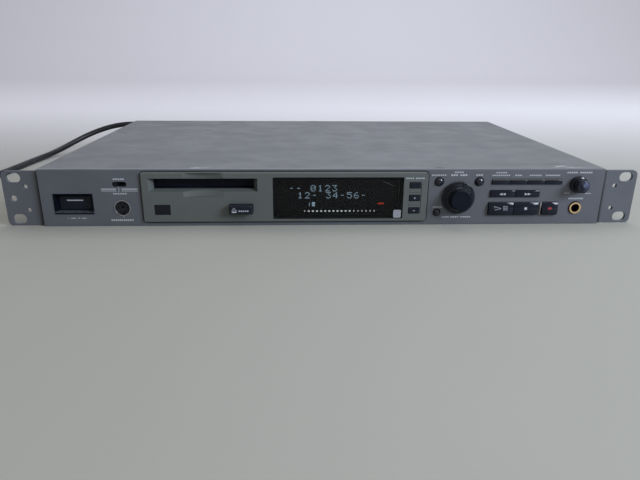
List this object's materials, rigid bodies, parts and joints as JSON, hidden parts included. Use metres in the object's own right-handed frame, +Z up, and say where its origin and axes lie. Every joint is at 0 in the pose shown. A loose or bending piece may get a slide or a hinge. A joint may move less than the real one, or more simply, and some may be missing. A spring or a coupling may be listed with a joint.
{
  "type": "minidisc deck",
  "caption": "One-unit rack deck with a slot for disc cartridges, a dark display, a jog dial, rows of keys, rack ears and a mains cord.",
  "frame": {"origin": "on the surface the deck stands on, under the middle of its width and depth", "axes": "+X to the right seen from the front, +Y to the back, +Z up; the front panel faces -Y"},
  "size_m": [0.6855, 0.3459, 0.0436],
  "materials": {
    "case_paint": "satin grey paint",
    "panel_paint": "fine matt grey paint",
    "bezel_plastic": "fine matt grey",
    "ear_paint": "matt grey paint",
    "zinc_steel": "zinc plated",
    "screw_steel": "nickel plated",
    "black_plastic": "matt black",
    "key_plastic": "satin black",
    "socket_chrome": "bright",
    "window_plastic": "clear dark",
    "tube_glass": "dark glass",
    "brass": "bright",
    "board": "solder mask",
    "parts": "matt",
    "iron": "laminated iron and copper winding",
    "rod_steel": "ground",
    "drive_plastic": "matt",
    "disc_white": "satin",
    "cord_rubber": "matt black"
  },
  "bodies": {
    "chassis": {"base_chassis": "zinc_steel", "top_cover": "case_paint", "rear_panel": "case_paint", "front_panel": "panel_paint", "slot_bezel": "bezel_plastic", "rack_ear_left": "ear_paint", "rack_ear_right": "ear_paint", "case_screws": "screw_steel", "power_frame": "black_plastic", "keyboard_shell": "socket_chrome", "keyboard_insert": "black_plastic", "remote_window": "window_plastic", "display_window": "window_plastic", "display_tube": "tube_glass", "phones_bush": "brass", "phones_socket": "black_plastic", "panel_switches": "parts", "rotary_controls": "zinc_steel", "control_board": "board", "main_board": "board", "board_parts": "parts", "supply_board": "board", "transformer": "iron", "drive_frame": "zinc_steel", "guide_rods": "rod_steel", "drive_motors": "zinc_steel", "audio_sockets": "black_plastic", "optical_sockets": "black_plastic", "control_port": "zinc_steel", "cord_relief": "cord_rubber", "power_cord": "cord_rubber", "cord_coil": "cord_rubber", "cord_plug": "cord_rubber"},
    "power_button": {"power_button": "key_plastic"},
    "selector_lever": {"selector_lever": "black_plastic"},
    "slot_shutter": {"slot_shutter": "black_plastic"},
    "eject_button": {"eject_button": "key_plastic"},
    "speed_key": {"speed_key": "key_plastic"},
    "speed_up_key": {"speed_up_key": "key_plastic"},
    "speed_down_key": {"speed_down_key": "key_plastic"},
    "menu_button": {"menu_button": "key_plastic"},
    "enter_button": {"enter_button": "key_plastic"},
    "clear_button": {"clear_button": "key_plastic"},
    "dial_plunger": {"dial_plunger": "drive_plastic"},
    "jog_dial": {"jog_dial": "key_plastic"},
    "display_key": {"display_key": "key_plastic"},
    "time_key": {"time_key": "key_plastic"},
    "locate_key": {"locate_key": "key_plastic"},
    "cue_key": {"cue_key": "key_plastic"},
    "rewind_key": {"rewind_key": "key_plastic"},
    "forward_key": {"forward_key": "key_plastic"},
    "play_key": {"play_key": "key_plastic"},
    "stop_key": {"stop_key": "key_plastic"},
    "record_key": {"record_key": "key_plastic"},
    "level_knob": {"level_knob": "key_plastic"},
    "turntable": {"turntable": "disc_white"},
    "pickup_sled": {"pickup_sled": "drive_plastic"},
    "lead_screw": {"lead_screw": "rod_steel"},
    "cartridge_holder": {"cartridge_holder": "zinc_steel"},
    "head_arm": {"head_arm": "rod_steel"}
  },
  "joints": [
    {"name": "power_push", "type": "slide", "parent": "chassis", "child": "power_button", "axis": [0, -1, 0], "range_m": [-0.0008, 0.0035]},
    {"name": "selector_slide", "type": "slide", "parent": "chassis", "child": "selector_lever", "axis": [1, 0, 0], "range_m": [0, 0.006]},
    {"name": "shutter_swing", "type": "hinge", "parent": "chassis", "child": "slot_shutter", "pos_m": [-0.0929, -0.1298, 0.03525], "axis": [1, 0, 0], "range_deg": [0, 88], "stiffness_Nm_per_rad": 0.0005, "springref_deg": -11.46},
    {"name": "eject_press", "type": "slide", "parent": "chassis", "child": "eject_button", "axis": [0, 1, 0], "range_m": [0, 0.0005], "stiffness_N_per_m": 400, "springref_m": -0.001},
    {"name": "speed_press", "type": "slide", "parent": "chassis", "child": "speed_key", "axis": [0, 1, 0], "range_m": [0, 0.0005], "stiffness_N_per_m": 400, "springref_m": -0.001},
    {"name": "speed_up_press", "type": "slide", "parent": "chassis", "child": "speed_up_key", "axis": [0, 1, 0], "range_m": [0, 0.0005], "stiffness_N_per_m": 400, "springref_m": -0.001},
    {"name": "speed_down_press", "type": "slide", "parent": "chassis", "child": "speed_down_key", "axis": [0, 1, 0], "range_m": [0, 0.0005], "stiffness_N_per_m": 400, "springref_m": -0.001},
    {"name": "menu_press", "type": "slide", "parent": "chassis", "child": "menu_button", "axis": [0, 1, 0], "range_m": [0, 0.0005], "stiffness_N_per_m": 400, "springref_m": -0.001},
    {"name": "enter_press", "type": "slide", "parent": "chassis", "child": "enter_button", "axis": [0, 1, 0], "range_m": [0, 0.0005], "stiffness_N_per_m": 400, "springref_m": -0.001},
    {"name": "clear_press", "type": "slide", "parent": "chassis", "child": "clear_button", "axis": [0, 1, 0], "range_m": [0, 0.0005], "stiffness_N_per_m": 400, "springref_m": -0.001},
    {"name": "display_press", "type": "slide", "parent": "chassis", "child": "display_key", "axis": [0, 1, 0], "range_m": [0, 0.0005], "stiffness_N_per_m": 400, "springref_m": -0.001},
    {"name": "time_press", "type": "slide", "parent": "chassis", "child": "time_key", "axis": [0, 1, 0], "range_m": [0, 0.0005], "stiffness_N_per_m": 400, "springref_m": -0.001},
    {"name": "locate_press", "type": "slide", "parent": "chassis", "child": "locate_key", "axis": [0, 1, 0], "range_m": [0, 0.0005], "stiffness_N_per_m": 400, "springref_m": -0.001},
    {"name": "cue_press", "type": "slide", "parent": "chassis", "child": "cue_key", "axis": [0, 1, 0], "range_m": [0, 0.0005], "stiffness_N_per_m": 400, "springref_m": -0.001},
    {"name": "rewind_press", "type": "slide", "parent": "chassis", "child": "rewind_key", "axis": [0, 1, 0], "range_m": [0, 0.0005], "stiffness_N_per_m": 400, "springref_m": -0.001},
    {"name": "forward_press", "type": "slide", "parent": "chassis", "child": "forward_key", "axis": [0, 1, 0], "range_m": [0, 0.0005], "stiffness_N_per_m": 400, "springref_m": -0.001},
    {"name": "play_press", "type": "slide", "parent": "chassis", "child": "play_key", "axis": [0, 1, 0], "range_m": [0, 0.0005], "stiffness_N_per_m": 400, "springref_m": -0.001},
    {"name": "stop_press", "type": "slide", "parent": "chassis", "child": "stop_key", "axis": [0, 1, 0], "range_m": [0, 0.0005], "stiffness_N_per_m": 400, "springref_m": -0.001},
    {"name": "record_press", "type": "slide", "parent": "chassis", "child": "record_key", "axis": [0, 1, 0], "range_m": [0, 0.0005], "stiffness_N_per_m": 400, "springref_m": -0.001},
    {"name": "dial_press", "type": "slide", "parent": "chassis", "child": "dial_plunger", "axis": [0, 1, 0], "range_m": [0, 0.0005], "stiffness_N_per_m": 800, "springref_m": -0.001},
    {"name": "dial_turn", "type": "hinge", "parent": "dial_plunger", "child": "jog_dial", "pos_m": [0.1008, -0.13925, 0.0219], "axis": [0, -1, 0], "continuous": true},
    {"name": "level_turn", "type": "hinge", "parent": "chassis", "child": "level_knob", "pos_m": [0.1937, -0.13925, 0.0319], "axis": [0, -1, 0], "range_deg": [-150, 150]},
    {"name": "turntable_spin", "type": "hinge", "parent": "chassis", "child": "turntable", "pos_m": [-0.0929, -0.08525, 0.022], "axis": [0, 0, 1], "continuous": true},
    {"name": "sled_move", "type": "slide", "parent": "chassis", "child": "pickup_sled", "axis": [1, 0, 0], "range_m": [0, 0.016]},
    {"name": "screw_turn", "type": "hinge", "parent": "chassis", "child": "lead_screw", "pos_m": [-0.0929, -0.06125, 0.0165], "axis": [1, 0, 0], "range_deg": [0, 1920.1]},
    {"name": "holder_lower", "type": "slide", "parent": "chassis", "child": "cartridge_holder", "axis": [0, 0, -1], "range_m": [0, 0.005]},
    {"name": "arm_tilt", "type": "hinge", "parent": "pickup_sled", "child": "head_arm", "pos_m": [-0.051, -0.08525, 0.0374], "axis": [0, -1, 0], "range_deg": [0, 8.01]}
  ],
  "couplings": [
    {"joint": "screw_turn", "follows": "sled_move", "rad_per_m": 2094.4},
    {"joint": "arm_tilt", "follows": "holder_lower", "rad_per_m": 27.925}
  ]
}
